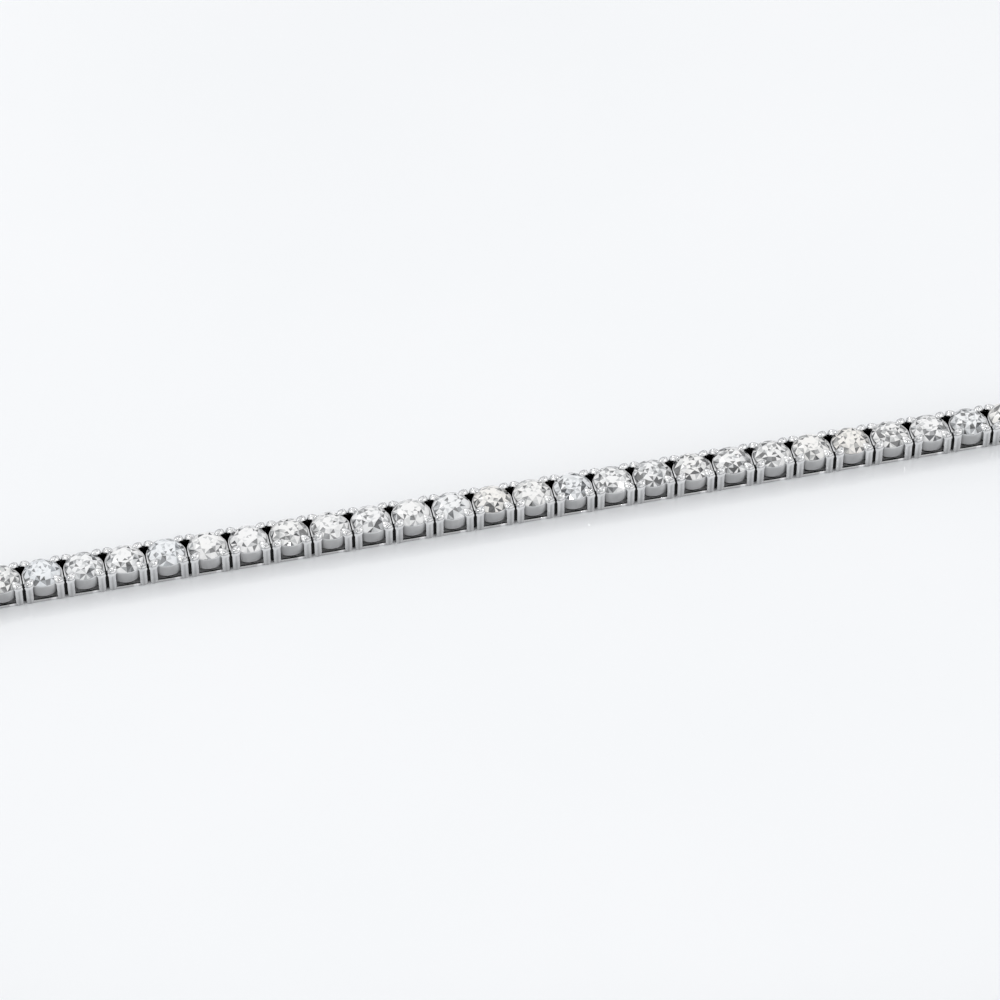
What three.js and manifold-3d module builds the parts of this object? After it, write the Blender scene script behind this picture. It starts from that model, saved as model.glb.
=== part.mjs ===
// A tennis bracelet lying closed on a surface, stones up: one line of equal links, each a round
// brilliant stone in a collet with four corner prongs on two base rails, and a plain box clasp.
// Millimetres, +Z up. The straight run of the loop lies along X.
import * as THREE from "three";
import { mergeVertices } from "three/addons/utils/BufferGeometryUtils.js";
import Module from "manifold-3d";

const wasm = await Module();
wasm.setup();

// Loop
const PITCH = 2.0;
const LONG_ROW_LINKS = 49;
const SHORT_ROW_LINKS = 38;
// The corners that the line of links rounds, in mm before the loop is drawn to its real length.
const ROUTE = [
  { x: 43.3, y: 0, bend: 10 },
  { x: -37.3, y: 0, bend: 10 },
  { x: -32.8, y: -27.1, bend: 11 },
  { x: 21.2, y: -38.1, bend: 11 },
];
// The clasp lies on the straight that leaves this corner, a little past its middle.
const CLASP_LEG = 3;
const CLASP_SHIFT = 1.08;

// Stone
const STONE_DIAMETER = 1.77;
const TABLE_DIAMETER = 1.0;
const CROWN_HEIGHT = 0.28;
const HOLLOW_DEPTH = 0.5;

// Setting
const GIRDLE_HEIGHT = 1.14;
const RIM_HEIGHT = 0.48;
const PRONG_WIDTH = 0.3;
const PRONG_DEPTH = 0.37;
const PRONG_ROUNDING = 0.12;
const CLAW_RISE = 0.2;
const CLAW_DOME = 0.04;
const CLAW_REACH = 0.19;
const CLAW_TIP_WIDTH = 0.18;
const RAIL_HEIGHT = 0.15;
const HINGE_BLOCK_RISE = 0.24;

// Open hinge: the ring of one piece round the bar of the next
const HINGE_CLEARANCE = 0.06;
const RING_WALL = 0.08;
const RING_WIDTH = 0.26;
const RING_SINK = 0.07;
const RING_SEAT = 0.225;
const BAR_THICKNESS = 0.12;
const BAR_SPAN = 0.66;
const CHEEK_THICKNESS = 0.12;
const CHEEK_SEAT = 0.26;
const CHEEK_SINK = 0.16;

// Clasp
const CLASP_LENGTH = 9.0;
const CLASP_GRIP = 0.06;
const CLASP_WIDTH = 2.3;
const CLASP_HEIGHT = 1.5;
const CLASP_CHAMFER = 0.2;
const CLASP_SEAM_DEPTH = 0.12;
const CLASP_SEAM_WIDTH = 0.25;
const CLASP_SEAM_FROM_END = 2.6;
const CLASP_TAB = { length: 1.6, height: 0.5, reach: 0.3, sink: 0.2 };

const QUARTER = Math.PI / 2;
const EIGHTH = Math.PI / 4;
const QUARTERS = [0, 1, 2, 3];
const SAME_POINT = 1e-5; // corners nearer than this are one
const TABLE_STEP = Math.PI / 8;
const STONE_RADIUS = STONE_DIAMETER / 2;
const TABLE_RADIUS = TABLE_DIAMETER / 2;
const SLIT = PITCH - STONE_DIAMETER;
const RING_REACH = BAR_THICKNESS / 2 + HINGE_CLEARANCE;
const BAR_CENTRE = -RING_WALL - HINGE_CLEARANCE;
const BAR_LOW = RING_WALL + HINGE_CLEARANCE;
const RING_BACK = -SLIT / 2 - RING_SEAT;
const CLASP_SETBACK = -RING_BACK - CLASP_GRIP;
const CLASP_SPAN = CLASP_LENGTH + 2 * CLASP_SETBACK;
const LOOP_LENGTH = (LONG_ROW_LINKS + SHORT_ROW_LINKS) * PITCH + CLASP_SPAN;

const SILVER = { color: 0xc9ccd0, metalness: 1.0, roughness: 0.18 };
const STONES_IN_SILVER = { color: 0xe6e8ea, metalness: 0.6, roughness: 0.12 };

// Solids

function toSolid(geometry) {
  const bare = geometry.clone();
  bare.deleteAttribute("normal");
  bare.deleteAttribute("uv");
  const merged = mergeVertices(bare, SAME_POINT);
  return new wasm.Manifold(
    new wasm.Mesh({
      numProp: 3,
      vertProperties: merged.attributes.position.array,
      triVerts: new Uint32Array(merged.index.array),
    }),
  );
}

function toGeometry(solid) {
  const mesh = solid.getMesh();
  const geometry = new THREE.BufferGeometry();
  geometry.setAttribute("position", new THREE.BufferAttribute(mesh.vertProperties, 3));
  geometry.setIndex(new THREE.BufferAttribute(mesh.triVerts, 1));
  geometry.computeVertexNormals();
  return geometry;
}

// A box from its lowest to its highest corner.
function block(low, high) {
  const size = high.map((value, axis) => value - low[axis]);
  const geometry = new THREE.BoxGeometry(...size);
  geometry.translate(...low.map((value, axis) => value + size[axis] / 2));
  return toSolid(geometry);
}

// An outline in the XZ plane drawn out along Y, from y to y + width.
function plate(outline, y, width, hole) {
  const shape = new THREE.Shape(outline.map(([x, z]) => new THREE.Vector2(x, z)));
  if (hole) shape.holes.push(new THREE.Path(hole.map(([x, z]) => new THREE.Vector2(x, z))));
  const geometry = new THREE.ExtrudeGeometry(shape, { depth: width, bevelEnabled: false });
  geometry.rotateX(QUARTER);
  geometry.translate(0, y + width, 0);
  return toSolid(geometry);
}

// Route

// The straights and bends of the closed line, drawn to the loop's length.
function routeLegs() {
  const corners = ROUTE.map(({ x, y, bend }) => ({ point: new THREE.Vector2(x, y), bend }));
  const count = corners.length;
  const bends = corners.map(({ point, bend }, index) => {
    const before = corners[(index + count - 1) % count].point;
    const after = corners[(index + 1) % count].point;
    const headingIn = point.clone().sub(before).angle();
    const headingOut = after.clone().sub(point).angle();
    const turn = (headingOut - headingIn + 2 * Math.PI) % (2 * Math.PI);
    return { point, bend, headingOut, turn, cut: bend * Math.tan(turn / 2) };
  });
  const legs = bends.flatMap((corner, index) => {
    const next = bends[(index + 1) % count];
    const { headingOut: heading } = corner;
    const along = new THREE.Vector2(Math.cos(heading), Math.sin(heading));
    const start = corner.point.clone().addScaledVector(along, corner.cut);
    const length = next.point.distanceTo(corner.point) - corner.cut - next.cut;
    const end = start.clone().addScaledVector(along, length);
    return [
      { start, heading, length, curve: 0, corner: index },
      { start: end, heading, length: next.bend * next.turn, curve: 1 / next.bend, corner: index },
    ];
  });
  const drawn = legs.reduce((sum, leg) => sum + leg.length, 0);
  const scale = LOOP_LENGTH / drawn;
  return legs.map((leg) => ({
    ...leg,
    start: leg.start.clone().multiplyScalar(scale),
    length: leg.length * scale,
    curve: leg.curve / scale,
  }));
}

const LEGS = routeLegs();

// The point of the route at a distance along it.
function routePoint(distance) {
  let left = ((distance % LOOP_LENGTH) + LOOP_LENGTH) % LOOP_LENGTH;
  let index = 0;
  while (index + 1 < LEGS.length && left > LEGS[index].length) {
    left -= LEGS[index].length;
    index += 1;
  }
  const { start, heading, curve } = LEGS[index];
  if (!curve) {
    return new THREE.Vector2(Math.cos(heading), Math.sin(heading)).multiplyScalar(left).add(start);
  }
  const turned = heading + left * curve;
  return new THREE.Vector2(
    start.x + (Math.sin(turned) - Math.sin(heading)) / curve,
    start.y - (Math.cos(turned) - Math.cos(heading)) / curve,
  );
}

// The place of a piece that spans the route between two distances.
function placeBetween(from, to) {
  const a = routePoint(from);
  const b = routePoint(to);
  const middle = a.clone().add(b).multiplyScalar(0.5);
  return new THREE.Matrix4()
    .makeRotationZ(b.sub(a).angle())
    .setPosition(middle.x, middle.y, 0);
}

function claspCentre() {
  const index = LEGS.findIndex((leg) => leg.corner === CLASP_LEG && !leg.curve);
  const before = LEGS.slice(0, index).reduce((sum, leg) => sum + leg.length, 0);
  return before + LEGS[index].length / 2 + CLASP_SHIFT;
}

// Link

// Collects the corners and faces of one closed skin.
class Skin {
  constructor() {
    this.corners = [];
    this.faces = [];
  }

  corner(x, y, z, place) {
    const point = new THREE.Vector3(x, y, z).applyMatrix4(place);
    this.corners.push(point.x, point.y, point.z);
    return this.corners.length / 3 - 1;
  }

  // A flat or nearly flat face with its corners counter-clockwise seen from outside.
  face(...ring) {
    for (let i = 1; i + 1 < ring.length; i++) this.faces.push(ring[0], ring[i], ring[i + 1]);
  }

  solid() {
    return new wasm.Manifold(
      new wasm.Mesh({
        numProp: 3,
        vertProperties: new Float32Array(this.corners),
        triVerts: new Uint32Array(this.faces),
      }),
    );
  }
}

const PRONG_INSIDE = Math.sqrt(STONE_RADIUS ** 2 - (PRONG_WIDTH / 2) ** 2);
const CLAW_TOP = GIRDLE_HEIGHT + CLAW_RISE;

// The height of the crown at a distance from the axis, under a prong.
function crownHeight(radius) {
  const share = (PRONG_INSIDE - radius) / (PRONG_INSIDE - TABLE_RADIUS * Math.cos(TABLE_STEP));
  return GIRDLE_HEIGHT + CROWN_HEIGHT * share;
}

// The corners of one prong: "low" and "high" are its sides in the order that angles grow.
function prongCorners(skin, angle, railSide, place) {
  const at = (radial, tangential, z) =>
    skin.corner(
      radial * Math.cos(angle) - tangential * Math.sin(angle),
      radial * Math.sin(angle) + tangential * Math.cos(angle),
      z,
      place,
    );
  const shoulder = PRONG_INSIDE + PRONG_DEPTH - PRONG_ROUNDING;
  const outside = PRONG_INSIDE + PRONG_DEPTH;
  const tip = PRONG_INSIDE - CLAW_REACH;
  const side = (sign, name) => {
    const offset = (sign * PRONG_WIDTH) / 2;
    const corners = {
      table: skin.corner(
        TABLE_RADIUS * Math.cos(angle + sign * TABLE_STEP),
        TABLE_RADIUS * Math.sin(angle + sign * TABLE_STEP),
        GIRDLE_HEIGHT + CROWN_HEIGHT,
        place,
      ),
      girdle: at(PRONG_INSIDE, offset, GIRDLE_HEIGHT),
      rim: at(PRONG_INSIDE, offset, RIM_HEIGHT),
      innerFoot: at(PRONG_INSIDE, offset, 0),
      outerFoot: at(shoulder, offset, 0),
      outerTop: at(shoulder, offset, CLAW_TOP),
      claw: at(tip, (sign * CLAW_TIP_WIDTH) / 2, crownHeight(tip)),
    };
    if (name === railSide) {
      corners.innerRail = at(PRONG_INSIDE, offset, RAIL_HEIGHT);
      corners.outerRail = at(shoulder, offset, RAIL_HEIGHT);
    }
    return corners;
  };
  return {
    low: side(-1, "low"),
    high: side(1, "high"),
    ridgeFoot: at(outside, 0, 0),
    ridgeTop: at(outside, 0, CLAW_TOP + CLAW_DOME),
  };
}

function prongFaces(skin, { low, high, ridgeFoot, ridgeTop }) {
  const lowRail = low.outerRail === undefined ? [] : [low.outerRail];
  const highRail = high.outerRail === undefined ? [] : [high.outerRail];
  const lowInner = low.innerRail === undefined ? [] : [low.innerRail];
  const highInner = high.innerRail === undefined ? [] : [high.innerRail];
  skin.face(ridgeFoot, ridgeTop, low.outerTop, ...lowRail, low.outerFoot);
  skin.face(ridgeFoot, high.outerFoot, ...highRail, high.outerTop, ridgeTop);
  const highBase = highRail.length ? [...highRail, ...highInner] : [high.outerFoot, high.innerFoot];
  const lowBase = lowRail.length ? [...lowInner, ...lowRail] : [low.innerFoot, low.outerFoot];
  skin.face(high.outerTop, ...highBase, high.rim, high.girdle, high.claw);
  skin.face(low.outerTop, low.claw, low.girdle, low.rim, ...lowBase);
  if (highInner.length) skin.face(low.innerFoot, low.rim, high.rim, ...highInner, high.innerFoot);
  else skin.face(high.innerFoot, low.innerFoot, ...lowInner, low.rim, high.rim);
  skin.face(high.innerFoot, high.outerFoot, ridgeFoot, low.outerFoot, low.innerFoot);
  skin.face(ridgeTop, high.outerTop, high.claw, low.claw, low.outerTop);
  skin.face(low.table, low.girdle, low.claw);
  skin.face(low.table, low.claw, high.claw, high.table);
  skin.face(high.table, high.claw, high.girdle);
}

function railFaces(skin, { high: a }, { low: b }) {
  skin.face(a.outerFoot, b.outerFoot, b.outerRail, a.outerRail);
  skin.face(b.innerFoot, a.innerFoot, a.innerRail, b.innerRail);
  skin.face(a.outerRail, b.outerRail, b.innerRail, a.innerRail);
  skin.face(a.innerFoot, b.innerFoot, b.outerFoot, a.outerFoot);
}

// One link of the row, open at both ends where the hinge blocks join it to its neighbours.
function addLink(skin, place) {
  const prongs = QUARTERS.map((quarter) =>
    prongCorners(skin, EIGHTH + quarter * QUARTER, quarter % 2 ? "low" : "high", place),
  );
  const rimRing = [];
  const ports = [];
  skin.face(...prongs.flatMap(({ low, high }) => [low.table, high.table]));
  prongs.forEach((prong, quarter) => {
    const next = prongs[(quarter + 1) % QUARTERS.length];
    const angle = (quarter + 1) * QUARTER;
    const overSide = quarter % 2 === 0;
    const x = STONE_RADIUS * Math.cos(angle);
    const y = STONE_RADIUS * Math.sin(angle);
    const girdle = skin.corner(x, y, GIRDLE_HEIGHT, place);
    const foot = skin.corner(x, y, overSide ? RIM_HEIGHT : RIM_HEIGHT + HINGE_BLOCK_RISE, place);
    prongFaces(skin, prong);
    skin.face(prong.high.table, prong.high.girdle, girdle);
    skin.face(prong.high.table, girdle, next.low.table);
    skin.face(next.low.table, girdle, next.low.girdle);
    skin.face(prong.high.rim, foot, girdle, prong.high.girdle);
    skin.face(foot, next.low.rim, next.low.girdle, girdle);
    rimRing.push(prong.low.rim, prong.high.rim);
    if (overSide) {
      railFaces(skin, prong, next);
      rimRing.push(foot);
    } else {
      ports.push({ from: prong.high.rim, to: next.low.rim, ridge: foot });
    }
  });
  const hollow = skin.corner(0, 0, RIM_HEIGHT + HOLLOW_DEPTH, place);
  rimRing.forEach((corner, index) =>
    skin.face(hollow, rimRing[(index + 1) % rimRing.length], corner),
  );
  return { behind: ports[0], ahead: ports[1] };
}

// The low three-sided block of the hinge between two links.
function hingeBlock(skin, ahead, behind) {
  skin.face(ahead.to, behind.from, behind.to, ahead.from);
  skin.face(ahead.from, behind.to, behind.ridge, ahead.ridge);
  skin.face(behind.from, ahead.to, ahead.ridge, behind.ridge);
}

function closePort(skin, { from, to, ridge }) {
  skin.face(from, to, ridge);
}

// A row of links from a distance along the route, as one closed solid.
function rowSolid(start, links) {
  const skin = new Skin();
  let last = null;
  for (let i = 0; i < links; i++) {
    const ports = addLink(skin, placeBetween(start + i * PITCH, start + (i + 1) * PITCH));
    if (last) hingeBlock(skin, last, ports.behind);
    else closePort(skin, ports.behind);
    last = ports.ahead;
  }
  closePort(skin, last);
  return skin.solid();
}

// Open hinges. Each half is made round the hinge point at x = 0.

// The ring stands on edge and rises into the rim of its own piece, at lower x. It holds the next
// piece's bar.
function hingeRing() {
  const holeTop = BAR_LOW + BAR_THICKNESS + HINGE_CLEARANCE;
  const hole = [
    [BAR_CENTRE - RING_REACH, RING_WALL],
    [BAR_CENTRE + RING_REACH, RING_WALL],
    [BAR_CENTRE + RING_REACH, holeTop],
    [BAR_CENTRE - RING_REACH, holeTop],
  ];
  const front = BAR_CENTRE + RING_REACH + RING_WALL;
  const outer = [
    [RING_BACK, 0],
    [front, 0],
    [front, RIM_HEIGHT + RING_SINK],
    [RING_BACK, RIM_HEIGHT + RING_SINK],
  ];
  return plate(outer, -RING_WIDTH / 2, RING_WIDTH, hole);
}

// The bar lies through the ring, between two cheeks that rise into the rim of its own piece.
function hingeBar() {
  const barBack = BAR_CENTRE - BAR_THICKNESS / 2;
  const barTop = BAR_LOW + BAR_THICKNESS;
  const seat = SLIT / 2 + CHEEK_SEAT;
  const cheek = [
    [barBack, BAR_LOW],
    [seat, BAR_LOW],
    [seat, RIM_HEIGHT + CHEEK_SINK],
    [SLIT / 2, RIM_HEIGHT + CHEEK_SINK],
    [SLIT / 2, barTop],
    [barBack, barTop],
  ];
  const half = BAR_SPAN / 2;
  return block([barBack, -half, BAR_LOW], [barBack + BAR_THICKNESS, half, barTop])
    .add(plate(cheek, -half, CHEEK_THICKNESS))
    .add(plate(cheek, half - CHEEK_THICKNESS, CHEEK_THICKNESS));
}

// A piece with its hinge halves: the bar at its start and the ring at its end.
function withHinges(solid, first, last) {
  const at = (half, { place, x }) =>
    half.transform(place.clone().multiply(new THREE.Matrix4().makeTranslation(x, 0, 0)).elements);
  return solid.add(at(hingeBar(), first)).add(at(hingeRing(), last));
}

function claspBody(place) {
  const x = CLASP_LENGTH / 2;
  const length = x - CLASP_CHAMFER;
  const width = CLASP_WIDTH / 2 - CLASP_CHAMFER;
  const outline = new THREE.Shape();
  outline.moveTo(-length, -width);
  outline.lineTo(length, -width);
  outline.lineTo(length, width);
  outline.lineTo(-length, width);
  const body = new THREE.ExtrudeGeometry(outline, {
    depth: CLASP_HEIGHT - 2 * CLASP_CHAMFER,
    bevelThickness: CLASP_CHAMFER,
    bevelSize: CLASP_CHAMFER,
    bevelSegments: 1,
  });
  body.translate(0, 0, CLASP_CHAMFER);
  const seamAt = x - CLASP_SEAM_FROM_END;
  const seam = block(
    [seamAt - CLASP_SEAM_WIDTH, -CLASP_WIDTH, CLASP_HEIGHT - CLASP_SEAM_DEPTH],
    [seamAt, CLASP_WIDTH, CLASP_HEIGHT + CLASP_SEAM_DEPTH],
  );
  const tabLow = (CLASP_HEIGHT - CLASP_TAB.height) / 2;
  const tab = block(
    [seamAt - CLASP_TAB.length, -CLASP_WIDTH / 2 - CLASP_TAB.reach, tabLow],
    [seamAt, CLASP_TAB.sink - CLASP_WIDTH / 2, tabLow + CLASP_TAB.height],
  );
  return toSolid(body).subtract(seam).add(tab).transform(place.elements);
}

// Assembly

const bracelet = new THREE.Group();

function addPiece(name, solid, settings) {
  const mesh = new THREE.Mesh(toGeometry(solid), new THREE.MeshStandardMaterial(settings));
  mesh.name = name;
  bracelet.add(mesh);
}

function addRow(name, start, links) {
  const end = start + links * PITCH;
  const first = { place: placeBetween(start, start + PITCH), x: -PITCH / 2 };
  const last = { place: placeBetween(end - PITCH, end), x: PITCH / 2 };
  addPiece(name, withHinges(rowSolid(start, links), first, last), STONES_IN_SILVER);
}

function addClasp(name, centre) {
  const half = CLASP_SPAN / 2;
  const place = placeBetween(centre - half, centre + half);
  const body = claspBody(place);
  addPiece(name, withHinges(body, { place, x: -half }, { place, x: half }), SILVER);
}

const claspAt = claspCentre();
const longFrom = claspAt + CLASP_SPAN / 2;
addClasp("clasp", claspAt);
addRow("stone_row_long", longFrom, LONG_ROW_LINKS);
addRow("stone_row_short", longFrom + LONG_ROW_LINKS * PITCH, SHORT_ROW_LINKS);

// The origin is on the surface under the middle of the loop.
const middle = new THREE.Box3().setFromObject(bracelet).getCenter(new THREE.Vector3());
bracelet.position.set(-middle.x, -middle.y, 0);

export default bracelet;
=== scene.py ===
"""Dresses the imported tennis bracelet, a closed line of 87 links and a box clasp that lies on a pale floor.
Each link is a cut stone in a collet with four prongs, two base rails and its part of two hinges."""

import math
import random

import bpy
import numpy as np
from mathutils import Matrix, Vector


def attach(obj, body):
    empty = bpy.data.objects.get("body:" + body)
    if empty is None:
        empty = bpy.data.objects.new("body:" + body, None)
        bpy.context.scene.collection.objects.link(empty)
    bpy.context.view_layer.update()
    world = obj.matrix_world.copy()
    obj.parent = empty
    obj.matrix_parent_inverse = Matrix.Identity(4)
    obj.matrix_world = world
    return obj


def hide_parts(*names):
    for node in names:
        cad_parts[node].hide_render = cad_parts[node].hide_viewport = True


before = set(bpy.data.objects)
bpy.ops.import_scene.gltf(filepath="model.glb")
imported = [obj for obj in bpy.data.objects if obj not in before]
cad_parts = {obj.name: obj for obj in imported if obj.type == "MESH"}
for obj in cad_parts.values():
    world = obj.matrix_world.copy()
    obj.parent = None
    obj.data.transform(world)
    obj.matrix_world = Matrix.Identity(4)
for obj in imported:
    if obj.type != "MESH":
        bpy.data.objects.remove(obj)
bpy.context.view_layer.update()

MM = 0.001
SEED = 7
rng = random.Random(SEED)

# The line of links, as in the part's source, in mm
PITCH = 2.0
LONG_ROW_LINKS = 49
SHORT_ROW_LINKS = 38
ROUTE = [(43.3, 0, 10), (-37.3, 0, 10), (-32.8, -27.1, 11), (21.2, -38.1, 11)]  # x, y and bend radius
CLASP_LEG = 3  # the corner before the clasp's straight
CLASP_SPAN = 9.56
CLASP_SHIFT = 1.08
LOOP_LENGTH = (LONG_ROW_LINKS + SHORT_ROW_LINKS) * PITCH + CLASP_SPAN
HOLLOW_TOP = 0.98
HEIGHT_MATCH = 0.002  # how near to that height a corner counts


def route_legs():
    """Straights and bends of the closed line: start, heading, length, curve and corner."""
    count = len(ROUTE)
    bends = []
    for i, (x, y, bend) in enumerate(ROUTE):
        before_x, before_y, _ = ROUTE[i - 1]
        after_x, after_y, _ = ROUTE[(i + 1) % count]
        heading_in = math.atan2(y - before_y, x - before_x)
        heading_out = math.atan2(after_y - y, after_x - x)
        turn = (heading_out - heading_in) % (2 * math.pi)
        bends.append((x, y, bend, heading_out, turn, bend * math.tan(turn / 2)))
    legs = []
    for i, (x, y, bend, heading, turn, cut) in enumerate(bends):
        next_x, next_y, next_bend, _, next_turn, next_cut = bends[(i + 1) % count]
        length = math.hypot(next_x - x, next_y - y) - cut - next_cut
        along = np.array([math.cos(heading), math.sin(heading)])
        start = np.array([x, y]) + along * cut
        legs.append([start, heading, length, 0.0, i])
        legs.append([start + along * length, heading, next_bend * next_turn, 1 / next_bend, i])
    scale = LOOP_LENGTH / sum(leg[2] for leg in legs)
    return [
        (start * scale, heading, length * scale, curve / scale, corner)
        for start, heading, length, curve, corner in legs
    ]


LEGS = route_legs()


def route_point(distance):
    """The point that lies this far along the closed line."""
    left = distance % LOOP_LENGTH
    for start, heading, length, curve, _ in LEGS:
        if left <= length:
            break
        left -= length
    if not curve:
        return start + left * np.array([math.cos(heading), math.sin(heading)])
    turned = heading + left * curve
    chord = [math.sin(turned) - math.sin(heading), math.cos(heading) - math.cos(turned)]
    return start + np.array(chord) / curve


def place_between(begin, end):
    """Middle and angle of a piece that spans the line between two distances."""
    a, b = route_point(begin), route_point(end)
    middle = (a + b) / 2
    return middle[0], middle[1], math.atan2(b[1] - a[1], b[0] - a[0])


def clasp_centre():
    """How far along the line the clasp's middle lies."""
    distance = 0.0
    for _, _, length, curve, corner in LEGS:
        if corner == CLASP_LEG and not curve:
            return distance + length / 2 + CLASP_SHIFT
        distance += length


CLASP_AT = clasp_centre()
LONG_FROM = CLASP_AT + CLASP_SPAN / 2
SHORT_FROM = LONG_FROM + LONG_ROW_LINKS * PITCH


def row_places(start, links):
    return [place_between(start + i * PITCH, start + (i + 1) * PITCH) for i in range(links)]


LONG_PLACES = row_places(LONG_FROM, LONG_ROW_LINKS)
SHORT_PLACES = row_places(SHORT_FROM, SHORT_ROW_LINKS)


def hollow_tops(node_name):
    """The top of the hollow under each stone of a CAD row, in mm."""
    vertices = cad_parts[node_name].data.vertices
    flat = np.empty(len(vertices) * 3)
    vertices.foreach_get("co", flat)
    points = flat.reshape(-1, 3) / MM
    tops = points[np.abs(points[:, 2] - HOLLOW_TOP) < HEIGHT_MATCH]
    return np.unique(np.round(tops[:, :2], 3), axis=0)


# From the line's own origin to the frame's, in mm
OFFSET = hollow_tops("stone_row_long").mean(axis=0) - np.mean(
    [place[:2] for place in LONG_PLACES], axis=0
)


# Tools for shapes
ALONG_X, ALONG_Y = (1, 0, 0), (0, 1, 0)
CORNER_STEPS = 4


class Shape:
    """Closed shapes in mm that face out. Each point has a painted light, a painted highlight or shade that
    multiplies its colour, and an added roughness.
    """

    def __init__(self):
        self.points = np.empty((0, 3))
        self.faces = []
        self.painted_lights = []
        self.satin = []

    def add(self, points, faces, painted_light=1.0, satin=0.0):
        points = np.asarray(points, float)
        volume = 0.0
        for face in faces:
            a = points[face[0]]
            for b, c in zip(face[1:], face[2:]):
                volume += np.dot(a, np.cross(points[b], points[c]))
        if volume < 0:
            faces = [face[::-1] for face in faces]
        base = len(self.points)
        self.points = np.vstack([self.points, points])
        self.faces += [[base + i for i in face] for face in faces]
        self.painted_lights += painted_light if isinstance(painted_light, list) else [painted_light] * len(points)
        self.satin += [satin] * len(points)


def loft(shape, rings, closed=False, painted_light=1.0, satin=0.0):
    """A skin over rings of equally many points, capped at both ends unless it closes on itself."""
    sides = len(rings[0])
    points = [point for ring in rings for point in ring]
    faces = []
    last = len(rings) if closed else len(rings) - 1
    for i in range(last):
        a, b = i * sides, ((i + 1) % len(rings)) * sides
        for k in range(sides):
            n = (k + 1) % sides
            faces.append([a + k, a + n, b + n, b + k])
    if not closed:
        faces.append(list(range(sides))[::-1])
        top = (len(rings) - 1) * sides
        faces.append([top + k for k in range(sides)])
    shape.add(points, faces, painted_light, satin)


def around(steps):
    """Evenly spaced angles of a full turn."""
    return [2 * math.pi * k / steps for k in range(steps)]


def lathe(shape, profile, steps, painted_light):
    """A ring turned about Z from a closed profile of (radius, height)."""
    rings = [[(r * math.cos(t), r * math.sin(t), z) for r, z in profile] for t in around(steps)]
    loft(shape, rings, closed=True, painted_light=painted_light)


def tube(shape, path, sizes, side, sides, closed=False, painted_light=1.0):
    """A tube along a path in one plane. side is the unit vector across that plane, and sizes holds the
    half width along side and the half depth in the plane, once or for each point."""
    path = [np.asarray(point, float) for point in path]
    side = np.asarray(side, float)
    rings = []
    count = len(path)
    for i, point in enumerate(path):
        before = path[i - 1] if (i or closed) else point
        after = path[(i + 1) % count] if (i + 1 < count or closed) else point
        along = after - before
        along /= np.linalg.norm(along)
        across = np.cross(along, side)
        wide, deep = sizes[i] if isinstance(sizes, list) else sizes
        rings.append(
            [point + side * wide * math.cos(t) + across * deep * math.sin(t) for t in around(sides)]
        )
    loft(shape, rings, closed, painted_light)


def rounded_section(half_width, low, high, rounding, steps=CORNER_STEPS):
    """A rounded rectangle as (y, z) points."""
    section = []
    for corner_y, corner_z, turn in (
        (half_width - rounding, low + rounding, -90),
        (half_width - rounding, high - rounding, 0),
        (-half_width + rounding, high - rounding, 90),
        (-half_width + rounding, low + rounding, 180),
    ):
        for k in range(steps + 1):
            t = math.radians(turn + 90 * k / steps)
            section.append((corner_y + rounding * math.cos(t), corner_z + rounding * math.sin(t)))
    return section


# The prongs: square-sided posts, bent over the stone's edge into beads
PRONG_X, PRONG_Y = 0.746, 0.716
PRONG_HALF_WIDTH, PRONG_HALF_DEPTH = 0.194, 0.172
PRONG_SIDES = 14
PRONG_SQUARENESS = 3.2  # 2 makes an ellipse, more a squarer section
PRONG_RINGS = [  # share of the distance from the axis, height, size, tilt in degrees
    (1.000, 0.000, 0.82, 0),
    (1.000, 0.020, 0.95, 0),
    (1.000, 0.060, 1.00, 0),
    (1.000, 0.500, 1.00, 0),
    (1.000, 0.950, 1.00, 0),
    (0.990, 1.040, 1.02, 10),
    (0.965, 1.095, 1.05, 26),
    (0.925, 1.140, 1.04, 42),
    (0.865, 1.175, 0.94, 56),
    (0.795, 1.200, 0.78, 66),
    (0.725, 1.222, 0.56, 72),
    (0.670, 1.240, 0.32, 76),
    (0.645, 1.248, 0.12, 78),
]
CLAW_SPREAD = 0.05  # how far the claws lean towards the neighbouring link
# The claws are painted lighter: a painted highlight
CLAW_PAINTED_HIGHLIGHT = 1.15
FACE_EDGE = 0.6  # share of the depth past which a point belongs to the front or back face
# Painted light on the posts: painted shade on their sides and in the middle of the front and back, two
# painted highlight bands, and painted shade towards the foot
SIDE_PAINTED_SHADE = 0.8
FACE_MIDDLE_PAINTED_SHADE = 0.74
PAINTED_BAND_GAIN, PAINTED_BAND_AT = 0.42, 0.6
FOOT_PAINTED_SHADE, PAINTED_LIGHT_PER_MM = 0.85, 0.2


def prong_section():
    """Points of a rounded square that reaches 1 on both axes."""
    section = []
    for k in range(PRONG_SIDES):
        turn = 2 * math.pi * (k + 0.5) / PRONG_SIDES
        c, s = math.cos(turn), math.sin(turn)
        reach = abs(c) ** PRONG_SQUARENESS + abs(s) ** PRONG_SQUARENESS
        fit = 1 / reach ** (1 / PRONG_SQUARENESS)
        section.append((c * fit, s * fit))
    return section


def post_painted_light(wide, deep, height):
    """Painted highlights: two light bands run up the front and the back of a post, and painted shade makes
    the post darker towards its foot.
    """
    painted_band = SIDE_PAINTED_SHADE
    if abs(deep) > FACE_EDGE:
        painted_band = FACE_MIDDLE_PAINTED_SHADE + PAINTED_BAND_GAIN * min(1, abs(wide) / PAINTED_BAND_AT)
    return painted_band * (FOOT_PAINTED_SHADE + PAINTED_LIGHT_PER_MM * height)


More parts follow.
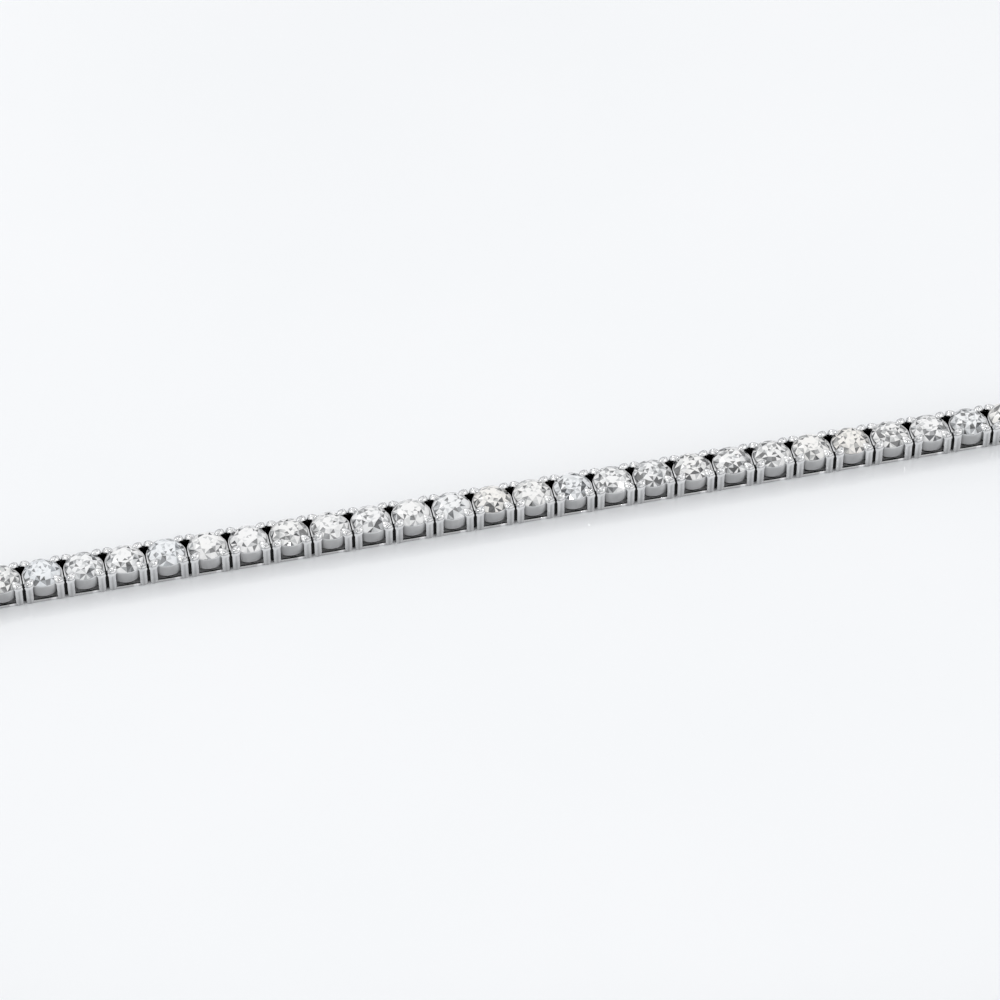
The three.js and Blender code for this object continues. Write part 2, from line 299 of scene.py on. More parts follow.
def prong(shape, x, y):
    distance = math.hypot(x, y)
    out = np.array([x / distance, y / distance, 0])
    side = np.array([-y / distance, x / distance, 0])
    section = prong_section()
    rings, painted_lights = [], []
    for share, height, size, tilt in PRONG_RINGS:
        t = math.radians(tilt)
        leaning = out * math.cos(t) + np.array([0, 0, math.sin(t)])
        centre = out * share * distance + (0, 0, height)
        ring = []
        for wide, deep in section:
            flat = np.array([wide * PRONG_HALF_WIDTH, deep * PRONG_HALF_DEPTH, 0]) * size
            spot = centre + leaning * flat.dot(out) + side * flat.dot(side)
            if tilt and flat[0] * x > 0:
                spot[0] += math.copysign(CLAW_SPREAD * min(1, size) * abs(wide), x)
            ring.append(spot)
            # Painted highlight on the claws, painted bands and painted shade on the posts
            painted_lights.append(CLAW_PAINTED_HIGHLIGHT if tilt else post_painted_light(wide, deep, height))
        rings.append(ring)
    loft(shape, rings, painted_light=painted_lights)


# The base rails between two posts of one side
RAIL_Y = 0.80
RAIL_HALF_WIDTH, RAIL_HEIGHT, RAIL_ROUNDING = 0.068, 0.15, 0.045
RAIL_STATIONS = [  # place along the rail, painted light: a painted highlight where the rail takes the light, painted shade towards its ends
    (-0.70, 0.5),
    (-0.54, 0.8),
    (-0.44, 1.45),
    (-0.3, 1.3),
    (-0.2, 0.85),
    (0.2, 0.85),
    (0.70, 0.8),
]


def rail(shape, sign):
    section = rounded_section(RAIL_HALF_WIDTH, 0.0, RAIL_HEIGHT, RAIL_ROUNDING)
    rings = [[(x, sign * RAIL_Y + y, z) for y, z in section] for x, _ in RAIL_STATIONS]
    loft(shape, rings, painted_light=[painted_light for _, painted_light in RAIL_STATIONS for _ in section])


# The collet: a cup under the stone, whose lip swells towards both neighbours
COLLET = [  # radius, height, painted light (painted shade inside and under the cup and low on its wall, a painted highlight on the lip), share of the swelling
    (0.640, 0.330, 0.10, 0.0),
    (0.740, 0.331, 0.25, 0.0),
    (0.815, 0.337, 0.50, 0.0),
    (0.846, 0.352, 0.62, 0.0),
    (0.857, 0.400, 0.66, 0.0),
    (0.866, 0.500, 0.67, 0.1),
    (0.876, 0.680, 0.69, 0.4),
    (0.884, 0.860, 0.72, 0.9),
    (0.889, 1.000, 0.80, 1.0),
    (0.890, 1.048, 1.05, 1.0),
    (0.882, 1.062, 1.15, 0.9),
    (0.862, 1.062, 0.80, 0.7),
    (0.790, 0.980, 0.40, 0.0),
    (0.700, 0.900, 0.20, 0.0),
    (0.670, 0.800, 0.10, 0.0),
    (0.645, 0.500, 0.06, 0.0),
]
COLLET_STEPS = 40
COLLET_SATIN = 0.42  # added roughness
# Painted light: the whole collet is painted lighter than the other metal
COLLET_PAINTED_LIGHT_GAIN = 1.08
LIP_RADIUS = 0.89
END_SWELL, SWELL_ANGLE = 0.082, 26
SHOULDER_REACH, SHOULDER_ANGLE = 0.968, 32  # the lip's corners on the inner side of the loop
INNER_SIDE = 0.01  # the least sine of an angle on that side
PAINTED_SHINE_AT, PAINTED_SHINE_ANGLE = 128, 20  # a painted highlight, the brightest place round the collet, in degrees
PAINTED_SHINE_GAIN = 0.6
PAINTED_SHINE_FROM, PAINTED_SHINE_RISE = 0.45, 0.4  # heights where the painted highlight starts and how far it rises


def lip_swell(turn):
    """How far the lip reaches past its radius. On the loop's inner side it fills the corner to the slit."""
    off_end = math.degrees(math.asin(abs(math.sin(turn))))
    swell = END_SWELL * math.exp(-((off_end / SWELL_ANGLE) ** 2))
    if math.sin(turn) > INNER_SIDE and off_end < SHOULDER_ANGLE:
        swell = max(swell, SHOULDER_REACH / math.cos(math.radians(off_end)) - LIP_RADIUS)
    return swell


def collet(shape):
    rings, painted_lights = [], []
    for turn in around(COLLET_STEPS):
        swell = lip_swell(turn)
        painted_shine = math.exp(-(((math.degrees(turn) - PAINTED_SHINE_AT) / PAINTED_SHINE_ANGLE) ** 2))
        ring = []
        for radius, height, painted_light, share in COLLET:
            reach = radius + swell * share
            ring.append((reach * math.cos(turn), reach * math.sin(turn), height))
            lit = min(1, max(0, (height - PAINTED_SHINE_FROM) / PAINTED_SHINE_RISE))
            # painted shade and highlights, times the collet's painted lightening and its painted shine
            painted_lights.append(painted_light * (COLLET_PAINTED_LIGHT_GAIN + PAINTED_SHINE_GAIN * painted_shine * lit))
        rings.append(ring)
    loft(shape, rings, closed=True, painted_light=painted_lights, satin=COLLET_SATIN)


# The gallery ring and the hinges, painted near black as painted shade, because they lie in shadow under the
# stones
PAINTED_SHADE_UNDER_STONES = 0.02
GALLERY = [  # radius, height
    (0.56, 0.03),
    (0.62, 0.04),
    (0.64, 0.10),
    (0.64, 0.34),
    (0.56, 0.34),
    (0.55, 0.06),
]
GALLERY_STEPS = 24
KNUCKLES_AHEAD = [(-0.22, 0.22)]
KNUCKLES_BEHIND = [(-0.66, -0.24), (0.24, 0.66)]
KNUCKLE_HALF_WIDTH, KNUCKLE_HALF_HEIGHT = 0.13, 0.34
KNUCKLE_EDGE, KNUCKLE_END_SIZE = 0.03, 0.85
HINGE_HEIGHT = 0.42
LUG_START, LUG_HALF_HEIGHT = 0.60, 0.2
TONGUE_INNER, TONGUE_OUTER = 0.56, 0.72
TONGUE_HALF_WIDTH, TONGUE_LOW, TONGUE_HIGH = 0.06, 0.08, 1.02
KNUCKLE_SIDES = 12
SMALL_ROUNDING, SMALL_STEPS = 0.03, 1


def knuckle(shape, hinge_x, low, high):
    """One knuckle across the line at a hinge point, and the lug that ties it to its link."""
    stations = [
        (low, KNUCKLE_END_SIZE),
        (low + KNUCKLE_EDGE, 1),
        (high - KNUCKLE_EDGE, 1),
        (high, KNUCKLE_END_SIZE),
    ]
    path = [(hinge_x, y, HINGE_HEIGHT) for y, _ in stations]
    sizes = [(KNUCKLE_HALF_WIDTH * size, KNUCKLE_HALF_HEIGHT * size) for _, size in stations]
    # painted shade: the knuckle and its lug are near black
    tube(shape, path, sizes, ALONG_X, KNUCKLE_SIDES, painted_light=PAINTED_SHADE_UNDER_STONES)
    lug = rounded_section(
        (high - low) / 2 - KNUCKLE_EDGE,
        HINGE_HEIGHT - LUG_HALF_HEIGHT,
        HINGE_HEIGHT + LUG_HALF_HEIGHT,
        SMALL_ROUNDING,
        SMALL_STEPS,
    )
    middle = (low + high) / 2
    start = math.copysign(LUG_START, hinge_x)
    rings = [[(x, middle + y, z) for y, z in lug] for x in (start, hinge_x)]
    loft(shape, rings, painted_light=PAINTED_SHADE_UNDER_STONES)


def hinge(shape):
    """The middle knuckle ahead of a link, the two outer ones behind it, and two tongues in the slit:
    near-black sheets that stand in for the shade there.
    """
    for hinge_x, spans in ((PITCH / 2, KNUCKLES_AHEAD), (-PITCH / 2, KNUCKLES_BEHIND)):
        for low, high in spans:
            knuckle(shape, hinge_x, low, high)
    # painted shade: the tongues are near black and fill the slit's shadow
    tongue = rounded_section(TONGUE_HALF_WIDTH, TONGUE_LOW, TONGUE_HIGH, SMALL_ROUNDING, SMALL_STEPS)
    for sign in (-1, 1):
        ends = (TONGUE_INNER, TONGUE_OUTER)
        rings = [[(-PITCH / 2 + x, sign * y, z) for x, z in tongue] for y in ends]
        loft(shape, rings, painted_light=PAINTED_SHADE_UNDER_STONES)


def link_metal():
    shape = Shape()
    collet(shape)
    # painted shade: the gallery ring is near black
    lathe(shape, GALLERY, GALLERY_STEPS, PAINTED_SHADE_UNDER_STONES)
    for x in (-PRONG_X, PRONG_X):
        for y in (-PRONG_Y, PRONG_Y):
            prong(shape, x, y)
    for sign in (-1, 1):
        rail(shape, sign)
    hinge(shape)
    return shape


# The stone
STONE_R, TABLE_R, STAR_R = 0.893, 0.5, 0.70
GIRDLE_LOW, GIRDLE_HIGH, TABLE_Z = 1.085, 1.11, 1.385
PAVILION = 0.75
OUTER_FLATS_R, INNER_FLATS_R = 0.36, 0.19
INNER_FLATS_TURN = 0.4  # in eighths of a turn
MIDDLE_R, MIDDLE_ANGLE = 0.03, 0.4
LOWER_R = 0.21
CULET_R, CULET_FLAT = 0.018, 0.012
KITE_SPLIT = 0.42
EIGHTH = math.pi / 4


def stone_shape():
    """A round brilliant: table in small flats, 8 stars, 8 kites, 16 upper halves, girdle, 16 lower halves
    and 8 mains. Stars and kites are split, so that the painted facet tones, painted reflections that stand
    in for sparkle, come in smaller bits."""
    points = []

    def point(radius, angle, z):
        points.append((radius * math.cos(angle), radius * math.sin(angle), z))
        return len(points) - 1

    def between(one, other, share=0.5):
        points.append(tuple(a + (b - a) * share for a, b in zip(points[one], points[other])))
        return len(points) - 1

    def crown_z(radius):
        slope = (TABLE_Z - GIRDLE_HIGH) / (STONE_R - TABLE_R)
        return TABLE_Z - (radius * math.cos(EIGHTH / 2) - TABLE_R) * slope

    def pavilion_z(radius):
        return GIRDLE_LOW - PAVILION + radius * math.cos(EIGHTH / 2) * PAVILION / STONE_R

    table = [point(TABLE_R, EIGHTH * (k + 0.5), TABLE_Z) for k in range(8)]
    outer = [point(OUTER_FLATS_R, EIGHTH * k, TABLE_Z) for k in range(8)]
    inner = [point(INNER_FLATS_R, EIGHTH * (k + INNER_FLATS_TURN), TABLE_Z) for k in range(8)]
    middle = point(MIDDLE_R, MIDDLE_ANGLE, TABLE_Z)
    stars = [point(STAR_R, EIGHTH * k, crown_z(STAR_R)) for k in range(8)]
    high = [point(STONE_R, EIGHTH / 4 * k, GIRDLE_HIGH) for k in range(32)]
    low = [point(STONE_R, EIGHTH / 4 * k, GIRDLE_LOW) for k in range(32)]
    lower = [point(LOWER_R, EIGHTH * k, pavilion_z(LOWER_R)) for k in range(8)]
    culet = [point(CULET_R, EIGHTH * k, GIRDLE_LOW - PAVILION + CULET_FLAT) for k in range(8)]
    edges = [between(table[k - 1], table[k]) for k in range(8)]
    splits = [between(table[k], high[4 * k + 2], KITE_SPLIT) for k in range(8)]
    faces = []
    for k in range(8):
        after = (k + 1) % 8
        top = [high[(4 * k + i) % 32] for i in range(5)]
        bottom = [low[(4 * k + i) % 32] for i in range(5)]
        faces += [
            [middle, inner[k], inner[after]],
            [inner[k], outer[k], outer[after]],
            [inner[k], outer[after], inner[after]],
            [outer[k], edges[k], table[k]],
            [outer[k], table[k], outer[after]],
            [edges[k], outer[k], table[k - 1]],
            [stars[k], table[k], edges[k]],
            [stars[k], edges[k], table[k - 1]],
            [table[k], stars[k], splits[k]],
            [splits[k], stars[k], top[2]],
            [table[k], splits[k], stars[after]],
            [splits[k], top[2], stars[after]],
            [stars[k], top[0], top[1]],
            [stars[k], top[1], top[2]],
            [stars[after], top[2], top[3]],
            [stars[after], top[3], top[4]],
        ]
        faces += [[top[i], bottom[i], bottom[i + 1], top[i + 1]] for i in range(4)]
        faces += [
            [lower[k], bottom[2], bottom[1], bottom[0]],
            [lower[after], bottom[4], bottom[3], bottom[2]],
            [lower[k], culet[k], culet[after], lower[after], bottom[2]],
        ]
    faces.append(culet[::-1])
    shape = Shape()
    shape.add(points, faces)
    return shape


# The box clasp with its thumb tab, seen from its middle
CLASP_LENGTH, CLASP_WIDTH, CLASP_HEIGHT, CLASP_ROUNDING = 9.0, 2.3, 1.5, 0.2
CLASP_END = [(0.0, 0.2), (0.04, 0.11), (0.1, 0.045), (0.2, 0.0)]  # distance from the end, inset
SEAM_AT, SEAM_WIDTH = 1.9, 0.25
SEAM_LIP, SEAM_LIP_INSET = 0.04, 0.035
SEAM_WALL, SEAM_DEPTH = 0.02, 0.11
TAB_LENGTH, TAB_LOW, TAB_HIGH, TAB_ROUNDING = 1.6, 0.5, 1.0, 0.12
TAB_STATIONS = [(-1.45, 0.1), (-1.42, 0.05), (-1.36, 0.0), (-0.95, 0.0)]  # y, inset
GRIPS, GRIP_FIRST, GRIP_PITCH = 5, 0.3, 0.25
GRIP_Y, GRIP_LOW, GRIP_HIGH, GRIP_RADIUS, GRIP_SIDES = -1.40, 0.56, 0.94, 0.045, 8


def clasp_stations():
    """Place along the clasp and inset: a rounded end, the seam's groove and the other end."""
    half = CLASP_LENGTH / 2
    seam_start = SEAM_AT - SEAM_WIDTH
    return [
        *[(-half + x, inset) for x, inset in CLASP_END],
        (seam_start - SEAM_LIP, 0.0),
        (seam_start, SEAM_LIP_INSET),
        (seam_start + SEAM_WALL, SEAM_DEPTH),
        (SEAM_AT - SEAM_WALL, SEAM_DEPTH),
        (SEAM_AT, SEAM_LIP_INSET),
        (SEAM_AT + SEAM_LIP, 0.0),
        *[(half - x, inset) for x, inset in reversed(CLASP_END)],
    ]


def clasp_shape():
    shape = Shape()
    rings = []
    for x, inset in clasp_stations():
        section = rounded_section(CLASP_WIDTH / 2 - inset, inset, CLASP_HEIGHT - inset, CLASP_ROUNDING)
        rings.append([(x, y, z) for y, z in section])
    loft(shape, rings)
    low, high = SEAM_AT - TAB_LENGTH, SEAM_AT
    middle = (low + high) / 2
    tab = []
    for y, inset in TAB_STATIONS:
        section = rounded_section((high - low) / 2 - inset, TAB_LOW + inset, TAB_HIGH - inset, TAB_ROUNDING)
        tab.append([(middle + x, y, z) for x, z in section])
    loft(shape, tab)
    for k in range(GRIPS):
        x = low + GRIP_FIRST + GRIP_PITCH * k
        path = [(x, GRIP_Y, GRIP_LOW), (x, GRIP_Y, GRIP_HIGH)]
        tube(shape, path, (GRIP_RADIUS, GRIP_RADIUS), ALONG_X, GRIP_SIDES)
    return shape


# The open hinges: the ring of one piece round the bar of the next, seen from the hinge point at x = 0
RING_LOW, RING_HIGH, RING_BACK, RING_FRONT = 0.04, 0.42, -0.30, 0.02
RING_ROUNDING, RING_HALF_WIDTH, RING_HALF_THICKNESS = 0.09, 0.12, 0.04
RING_STEPS, RING_SIDES = 3, 10
BAR_X, BAR_Z, BAR_END, BAR_RADIUS, BAR_SIDES = -0.14, 0.20, 0.33, 0.06, 12
ARM_Y, ARM_RADIUS, ARM_SIDES = 0.27, 0.058, 10
ARM_BEND = [(0.16, 0.0), (0.24, 0.05), (0.26, 0.12)]  # x, height over the bar
ARM_X, ARM_TOP = 0.26, 0.48


def ring_shape():
    shape = Shape()
    half = (RING_FRONT - RING_BACK) / 2
    section = rounded_section(half, RING_LOW, RING_HIGH, RING_ROUNDING, RING_STEPS)
    centre = (RING_FRONT + RING_BACK) / 2
    path = [(centre + x, 0, z) for x, z in section]
    tube(shape, path, (RING_HALF_WIDTH, RING_HALF_THICKNESS), ALONG_Y, RING_SIDES, closed=True)
    return shape


def bar_shape():
    """The bar and the two arms that carry it."""
    shape = Shape()
    bar = [(BAR_X, -BAR_END, BAR_Z), (BAR_X, BAR_END, BAR_Z)]
    tube(shape, bar, (BAR_RADIUS, BAR_RADIUS), ALONG_X, BAR_SIDES)
    for y in (-ARM_Y, ARM_Y):
        bend = [(x, y, BAR_Z + rise) for x, rise in ARM_BEND]
        path = [(BAR_X, y, BAR_Z), *bend, (ARM_X, y, ARM_TOP)]
        tube(shape, path, (ARM_RADIUS, ARM_RADIUS), ALONG_Y, ARM_SIDES)
    return shape


# Tools for node trees
def material(name):
    """A material with one Principled shader, its tree and the shader."""
    made = bpy.data.materials.new(name)
    made.use_nodes = True
    tree = made.node_tree
    tree.nodes.clear()
    out = tree.nodes.new("ShaderNodeOutputMaterial")
    shader = tree.nodes.new("ShaderNodeBsdfPrincipled")
    tree.links.new(shader.outputs[0], out.inputs[0])
    return made, tree, shader


def ramp(tree, source, stops):
    """Colours along a value. stops holds (value, colour)."""
    made = tree.nodes.new("ShaderNodeValToRGB")
    tree.links.new(source, made.inputs[0])
    elements = made.color_ramp.elements
    while len(elements) < len(stops):
        elements.new(0.5)
    for element, (at, colour) in zip(elements, stops):
        element.position = at
        element.color = (*colour, 1)
    return made.outputs[0]


def noise(tree, scale, detail, place=None):
    """Noise over the object, or over a place that another node gives."""
    if place is None:
        place = tree.nodes.new("ShaderNodeTexCoord").outputs["Object"]
    made = tree.nodes.new("ShaderNodeTexNoise")
    made.inputs["Scale"].default_value = scale
    made.inputs["Detail"].default_value = detail
    tree.links.new(place, made.inputs["Vector"])
    return made.outputs["Fac"]


def own_value(tree, name):
    """A value that the mesh carries under this name."""
    made = tree.nodes.new("ShaderNodeAttribute")
    made.attribute_name = name
    return made.outputs["Fac"]


def times(tree, one, other):
    """One colour times another."""
    made = tree.nodes.new("ShaderNodeMix")
    made.data_type = "RGBA"
    made.blend_type = "MULTIPLY"
    made.inputs["Factor"].default_value = 1.0
    tree.links.new(one, made.inputs[6])
    tree.links.new(other, made.inputs[7])
    return made.outputs[2]


def plus(tree, one, other):
    """One value plus another."""
    made = tree.nodes.new("ShaderNodeMath")
    tree.links.new(one, made.inputs[0])
    tree.links.new(other, made.inputs[1])
    return made.outputs[0]


def bump(tree, source, shader, strength, distance):
    made = tree.nodes.new("ShaderNodeBump")
    made.inputs["Strength"].default_value = strength
    made.inputs["Distance"].default_value = distance
    tree.links.new(source, made.inputs["Height"])
    tree.links.new(made.outputs[0], shader.inputs["Normal"])


# White metal: polished, with faint clouds and a fine grain, with painted shade in its recesses and each
# point's painted light
METAL_CLOUDS = [(0.3, (0.60, 0.605, 0.61)), (0.7, (0.70, 0.702, 0.706))]
METAL_CLOUD_NOISE = (2600, 3)  # scale and detail
METAL_ROUGHNESS = [(0.3, (0.09, 0.09, 0.09)), (0.75, (0.2, 0.2, 0.2))]
METAL_ROUGHNESS_NOISE = (5200, 4)
METAL_BUMP_NOISE, METAL_BUMP, METAL_BUMP_HEIGHT = (9000, 3), 0.12, 0.00001
RECESS_REACH, RECESS_SAMPLES = 0.0005, 4
PAINTED_RECESS_SHADE = [(0.04, (0.10, 0.101, 0.103)), (0.15, (0.62, 0.622, 0.625)), (0.28, (1, 1, 1))]


def metal_material():
    made, tree, shader = material("white_metal")
    shader.inputs["Metallic"].default_value = 1.0
    clouds = ramp(tree, noise(tree, *METAL_CLOUD_NOISE), METAL_CLOUDS)
    # Painted shade: the colour gets darker where the metal's own parts close in
    recess = tree.nodes.new("ShaderNodeAmbientOcclusion")
    recess.inputs["Distance"].default_value = RECESS_REACH
    recess.samples = RECESS_SAMPLES
    recess.only_local = True
    recess_painted_shade = ramp(tree, recess.outputs["AO"], PAINTED_RECESS_SHADE)
    # The colour times the painted shade and each point's painted highlights and shade
    colour = times(tree, times(tree, clouds, recess_painted_shade), own_value(tree, "metal_painted_light"))
    tree.links.new(colour, shader.inputs["Base Color"])
    polish = ramp(tree, noise(tree, *METAL_ROUGHNESS_NOISE), METAL_ROUGHNESS)
    tree.links.new(plus(tree, polish, own_value(tree, "satin")), shader.inputs["Roughness"])
    bump(tree, noise(tree, *METAL_BUMP_NOISE), shader, METAL_BUMP, METAL_BUMP_HEIGHT)
    return made


# Cut stone: each stone has a tint, each facet a painted tone that stands in for the light and dark of its
# reflections
STONE_TRANSMISSION, STONE_IOR, STONE_ROUGHNESS = 0.12, 2.3, 0.03
STONE_TINTS = [
    (0.0, (1.0, 0.96, 0.90)),
    (0.25, (1, 0.995, 0.98)),
    (0.65, (1, 1, 1)),
    (1.0, (0.94, 0.97, 1.0)),
]
FACET_PAINTED_REFLECTIONS = [
    (0.0, (0.04, 0.042, 0.045)),
    (0.06, (0.12, 0.125, 0.13)),
    (0.16, (0.42, 0.43, 0.44)),
    (0.34, (0.80, 0.81, 0.815)),
    (0.52, (1, 1, 1)),
]


def stone_material():
    made, tree, shader = material("cut_stone")
    shader.inputs["Transmission Weight"].default_value = STONE_TRANSMISSION
    shader.inputs["IOR"].default_value = STONE_IOR
    shader.inputs["Roughness"].default_value = STONE_ROUGHNESS
    tint = ramp(tree, own_value(tree, "stone_tint"), STONE_TINTS)
    # painted reflections: each facet's painted tone
    painted_light = ramp(tree, own_value(tree, "facet_painted_reflection"), FACET_PAINTED_REFLECTIONS)
    tree.links.new(times(tree, tint, painted_light), shader.inputs["Base Color"])
    return made


# The floor: pale, with a glossy coat
FLOOR_CLOUDS = [(0.3, (0.90, 0.915, 0.93)), (0.7, (0.915, 0.925, 0.94))]
FLOOR_CLOUD_NOISE = (60, 3)
FLOOR_ROUGHNESS, FLOOR_COAT_ROUGHNESS, FLOOR_COAT_IOR = 0.5, 0.05, 1.6


def floor_material():
    made, tree, shader = material("pale_floor")
    clouds = ramp(tree, noise(tree, *FLOOR_CLOUD_NOISE), FLOOR_CLOUDS)
    tree.links.new(clouds, shader.inputs["Base Color"])
    shader.inputs["Roughness"].default_value = FLOOR_ROUGHNESS
    shader.inputs["Coat Weight"].default_value = 1.0
    shader.inputs["Coat Roughness"].default_value = FLOOR_COAT_ROUGHNESS
    shader.inputs["Coat IOR"].default_value = FLOOR_COAT_IOR
    return made


# The pieces, each one joined mesh
METAL, STONE = metal_material(), stone_material()
SHARP_ANGLE = math.radians(38)
PAINTED_REFLECTION_MOOD_RANGE = (0.7, 1.3)  # how dark the painted reflections on the facets of one stone tend to be
# painted shade: the crown's facets are painted darker than the table's
TABLE_DARKNESS, FACET_DARKNESS = 0.95, 1.8


def joined_mesh(name, batches, finish):
    """One mesh of many copies. batches holds (shape, places), with x, y and angle in mm and radians."""
    points, faces = [], []
    base = 0
    for shape, places in batches:
        for x, y, angle in places:
            c, s = math.cos(angle), math.sin(angle)
            own = shape.points
            across = c * own[:, 0] - s * own[:, 1] + x + OFFSET[0]
            along = s * own[:, 0] + c * own[:, 1] + y + OFFSET[1]
            points.append(np.column_stack([across, along, own[:, 2]]) * MM)
            faces += [[base + i for i in face] for face in shape.faces]
            base += len(own)
    mesh = bpy.data.meshes.new(name)
    mesh.from_pydata(np.vstack(points).tolist(), [], faces)
    mesh.materials.append(finish)
    return mesh


def carry(mesh, name, domain, values):
    """Gives the mesh one value for each point or face."""
    mesh.attributes.new(name, "FLOAT", domain).data.foreach_set("value", values)


def show(name, mesh, nodes):
    """Puts a mesh into the scene in place of CAD nodes."""
    mesh.update()
    made = bpy.data.objects.new(name, mesh)
    bpy.context.scene.collection.objects.link(made)
    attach(made, "root")
    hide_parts(*nodes)


def show_metal(name, batches, nodes):
    mesh = joined_mesh(name, batches, METAL)
    mesh.polygons.foreach_set("use_smooth", [True] * len(mesh.polygons))
    mesh.set_sharp_from_angle(angle=SHARP_ANGLE)
    copies = [shape for shape, places in batches for _ in places]
    # each point's painted highlights and shade
    carry(mesh, "metal_painted_light", "POINT", [painted_light for shape in copies for painted_light in shape.painted_lights])
    carry(mesh, "satin", "POINT", [satin for shape in copies for satin in shape.satin])
    show(name, mesh, nodes)


def show_stones(name, places, nodes):
    """Each stone has its own turn, tint and mood, and each facet its own painted tone, a painted reflection
    that stands in for its sparkle.
    """
    spins = [(rng.uniform(0, EIGHTH), rng.random()) for _ in places]
    turned = [(x, y, angle + spin) for (x, y, angle), (spin, _) in zip(places, spins)]
    mesh = joined_mesh(name, [(GEM, turned)], STONE)
    carry(mesh, "stone_tint", "FACE", [tint for _, tint in spins for _ in GEM.faces])
    on_table = [all(point[2] == TABLE_Z for point in GEM.points[face]) for face in GEM.faces]
    moods = [rng.uniform(*PAINTED_REFLECTION_MOOD_RANGE) for _ in places]
    painted_lights = [
        rng.random() ** (mood * (TABLE_DARKNESS if flat else FACET_DARKNESS))
        for mood in moods
        for flat in on_table
    ]
    carry(mesh, "facet_painted_reflection", "FACE", painted_lights)
    show(name, mesh, nodes)


def ends(begin, end):
    """The first and last hinge point of a piece that spans the line between two distances."""
    x, y, angle = place_between(begin, end)
    half = (end - begin) / 2
    c, s = math.cos(angle), math.sin(angle)
    return (x - c * half, y - s * half, angle), (x + c * half, y + s * half, angle)


LINK, GEM, RING, BAR = link_metal(), stone_shape(), ring_shape(), bar_shape()

for label, places, start in (("long", LONG_PLACES, LONG_FROM), ("short", SHORT_PLACES, SHORT_FROM)):
    node_name = f"stone_row_{label}"
    end = start + len(places) * PITCH
    first, _ = ends(start, start + PITCH)
    _, last = ends(end - PITCH, end)
    show_metal(f"setting_{label}", [(LINK, places), (BAR, [first]), (RING, [last])], [node_name])
    show_stones(f"stones_{label}", places, [node_name])

clasp_from, clasp_to = CLASP_AT - CLASP_SPAN / 2, CLASP_AT + CLASP_SPAN / 2
first, last = ends(clasp_from, clasp_to)
clasp_batches = [(clasp_shape(), [place_between(clasp_from, clasp_to)]), (BAR, [first]), (RING, [last])]
show_metal("box_clasp", clasp_batches, ["clasp"])

# The floor, in metres like all that follows
FLOOR_HALF = 3
FLOOR_DROP = 0.00001  # keeps the floor clear of the part's underside
floor_mesh = bpy.data.meshes.new("floor")
floor_corners = [(x * FLOOR_HALF, y * FLOOR_HALF, 0) for x, y in ((-1, -1), (1, -1), (1, 1), (-1, 1))]
floor_mesh.from_pydata(floor_corners, [], [(0, 1, 2, 3)])
floor_mesh.materials.append(floor_material())
floor = bpy.data.objects.new("floor", floor_mesh)
bpy.context.scene.collection.objects.link(floor)
floor.location.z = -FLOOR_DROP

# The camera's view, fitted to the slits between the links in the photo
ELEVATION, SWING, FIELD = math.radians(47.5), math.radians(12.47), math.radians(12.353)
DISTANCE = 0.2243
LOOK_AT = (-0.00028, 0.018378, 0.0006)
CLIP = (0.01, 10)
PICTURE_PIXELS, RAISED_PIXELS = 1000, 5
ahead = Vector(
    (
        math.sin(SWING) * math.cos(ELEVATION),
        math.cos(SWING) * math.cos(ELEVATION),
        -math.sin(ELEVATION),
    )
)

# The studio's light: soft panels, dim near the horizon and behind the camera
WORLD_STRENGTH = 1.10
PANEL_NOISE = (2.4, 1.0)
PANELS = [(0.40, (0.42, 0.43, 0.45)), (0.50, (1.0, 1.0, 1.0))]
BEHIND_CAMERA = [(0.90, (1, 1, 1)), (0.955, (0.45, 0.455, 0.46))]
HORIZON = [(0.0, (0.35, 0.36, 0.38)), (0.22, (1, 1, 1))]


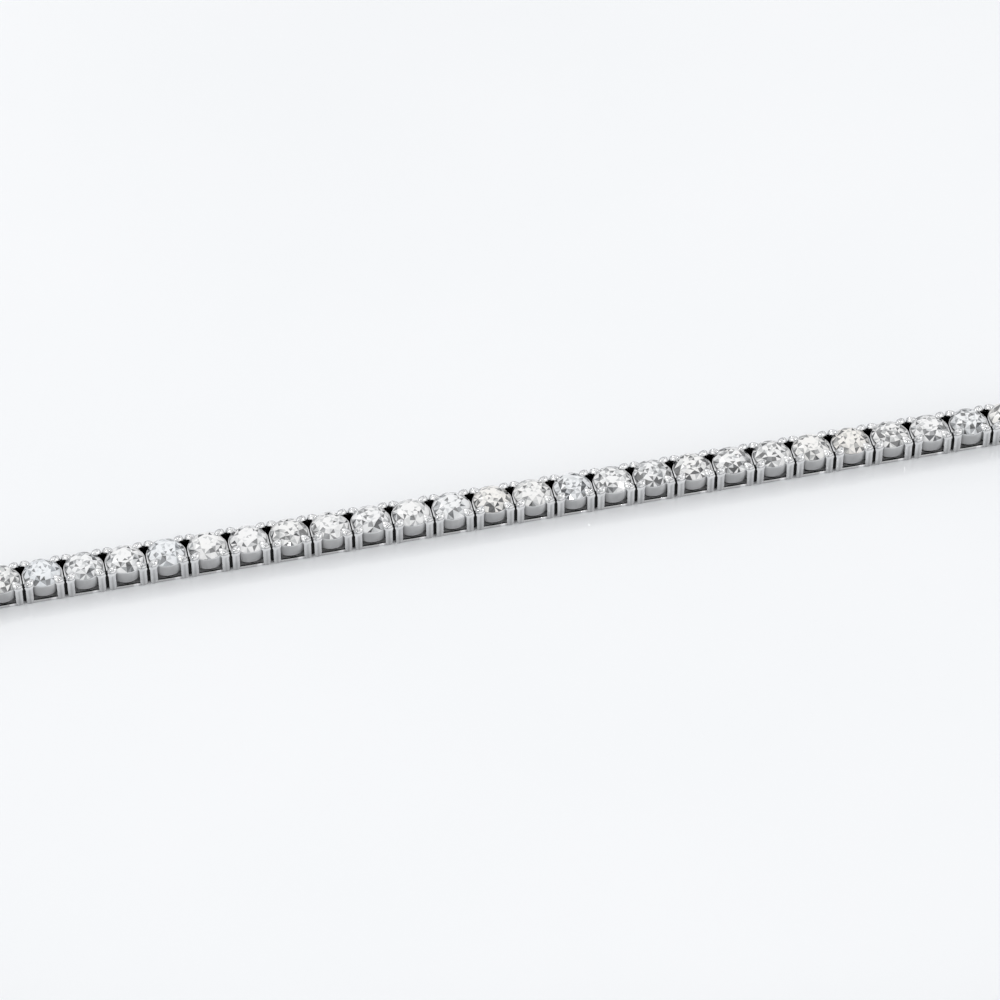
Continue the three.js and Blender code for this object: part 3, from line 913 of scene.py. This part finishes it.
def studio_world():
    world = bpy.data.worlds.new("studio")
    world.use_nodes = True
    tree = world.node_tree
    direction = tree.nodes.new("ShaderNodeTexCoord").outputs["Generated"]
    panels = ramp(tree, noise(tree, *PANEL_NOISE, direction), PANELS)
    towards = tree.nodes.new("ShaderNodeVectorMath")
    towards.operation = "DOT_PRODUCT"
    towards.inputs[1].default_value = -ahead
    tree.links.new(direction, towards.inputs[0])
    behind_camera = ramp(tree, towards.outputs["Value"], BEHIND_CAMERA)
    height = tree.nodes.new("ShaderNodeSeparateXYZ")
    tree.links.new(direction, height.inputs[0])
    horizon = ramp(tree, height.outputs["Z"], HORIZON)
    light = times(tree, times(tree, panels, behind_camera), horizon)
    background = tree.nodes["Background"]
    tree.links.new(light, background.inputs[0])
    background.inputs[1].default_value = WORLD_STRENGTH
    return world


def aim(thing, place, direction):
    """Puts a light or the camera at a place, looking along a direction."""
    thing.location = place
    thing.rotation_mode = "QUATERNION"
    thing.rotation_quaternion = direction.to_track_quat("-Z", "Y")
    bpy.context.scene.collection.objects.link(thing)


LIT_POINT = (0, 0.018, 0)
LIGHTS = [  # name, place, width and height, watts
    ("back_box", (-0.30, 0.30, 0.42), (0.25, 0.18), 0.25),
    ("left_strip", (-0.35, -0.10, 0.30), (0.03, 0.20), 0.08),
    ("right_strip", (0.36, -0.05, 0.26), (0.03, 0.20), 0.08),
    ("spark_front", (-0.10, -0.30, 0.38), (0.02, 0.02), 0.05),
    ("spark_top", (0.10, 0.05, 0.50), (0.02, 0.02), 0.05),
]

bpy.context.scene.world = studio_world()
for name, place, size, watts in LIGHTS:
    light = bpy.data.lights.new(name, "AREA")
    light.shape = "RECTANGLE"
    light.size, light.size_y = size
    light.energy = watts
    aim(bpy.data.objects.new(name, light), place, Vector(LIT_POINT) - Vector(place))

right = Vector((math.cos(SWING), -math.sin(SWING), 0))
up = right.cross(ahead)
pixel = 2 * DISTANCE * math.tan(FIELD / 2) / PICTURE_PIXELS
centre = Vector(LOOK_AT) + up * RAISED_PIXELS * pixel
camera_data = bpy.data.cameras.new("camera")
camera_data.angle = FIELD
camera_data.clip_start, camera_data.clip_end = CLIP
camera = bpy.data.objects.new("camera", camera_data)
aim(camera, centre - ahead * DISTANCE, ahead)
bpy.context.scene.camera = camera
bpy.context.scene.view_settings.view_transform = "Standard"
